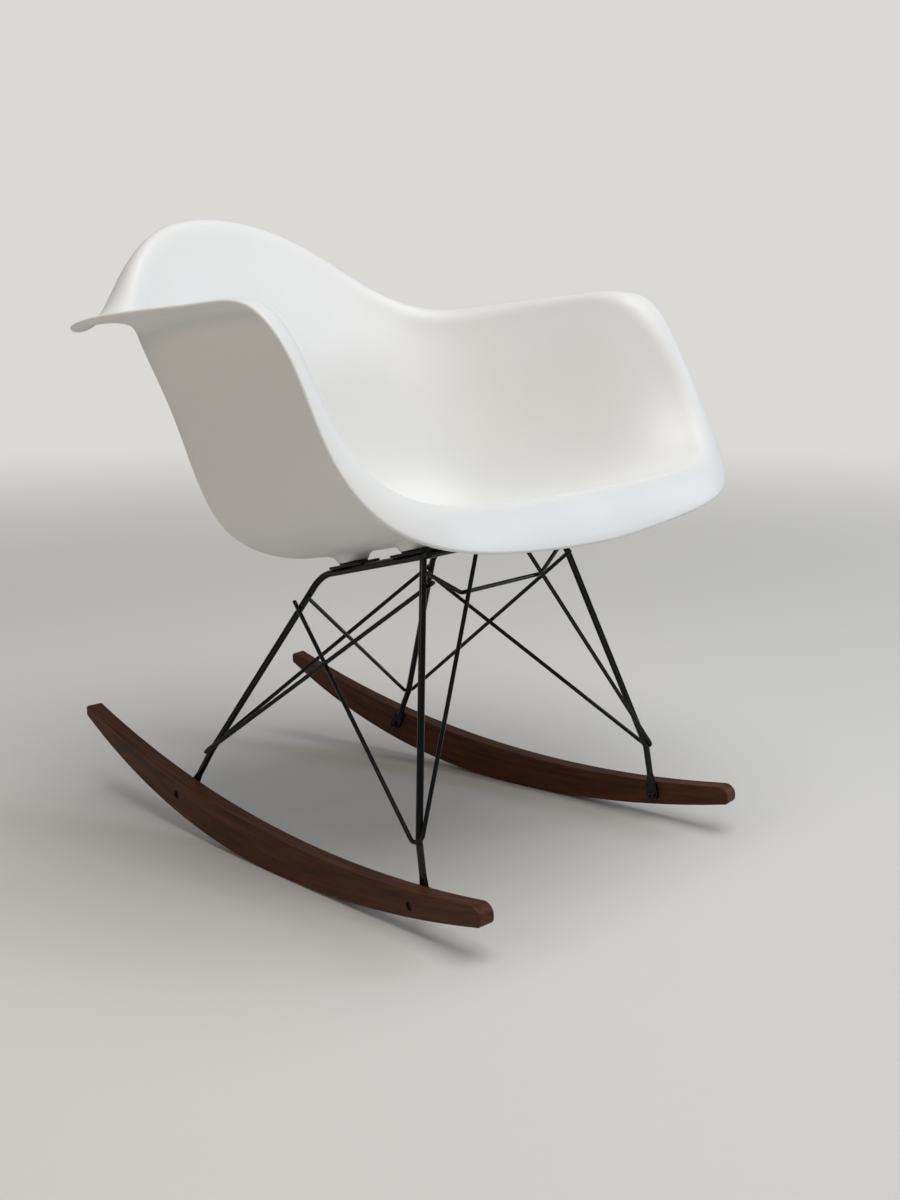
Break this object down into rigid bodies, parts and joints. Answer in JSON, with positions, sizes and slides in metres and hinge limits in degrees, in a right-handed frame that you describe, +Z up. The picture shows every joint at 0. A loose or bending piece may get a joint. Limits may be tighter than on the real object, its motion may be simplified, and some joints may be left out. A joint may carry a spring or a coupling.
{
  "type": "moulded plastic rocking chair",
  "caption": "Moulded plastic armchair shell with a rolled lip, bolted to a welded black rod base with crossed wire struts and two bent wooden rockers.",
  "frame": {"origin": "on the floor under the middle of the bounding box, midway between the rockers and midway along them", "axes": "+X to the sitter's left, -Y to the front where the sitter faces, +Z up"},
  "size_m": [0.6428, 0.6894, 0.7118],
  "materials": {
    "shell": "matte moulded polypropylene, fine texture",
    "pad": "matte",
    "insert": "machined",
    "screw": "zinc plated",
    "base": "satin black powder coat",
    "rocker": "oiled dark hardwood",
    "bolt": "zinc plated"
  },
  "bodies": {
    "root": {"seat_shell": "shell", "mount_pads": "pad", "threaded_inserts": "insert", "shell_screws": "screw", "mount_plate_front_left": "base", "mount_plate_front_right": "base", "mount_plate_rear_left": "base", "mount_plate_rear_right": "base", "rear_leg_rail_left": "base", "rear_leg_rail_right": "base", "front_leg_left": "base", "front_leg_right": "base", "front_crossbar_upper": "base", "front_crossbar_lower": "base", "rear_crossbar": "base", "front_strut_left": "base", "front_strut_right": "base", "rear_strut_left": "base", "rear_strut_right": "base", "rocker_left": "rocker", "rocker_right": "rocker", "rocker_bolts": "bolt", "rocker_nuts": "bolt"}
  },
  "joints": []
}
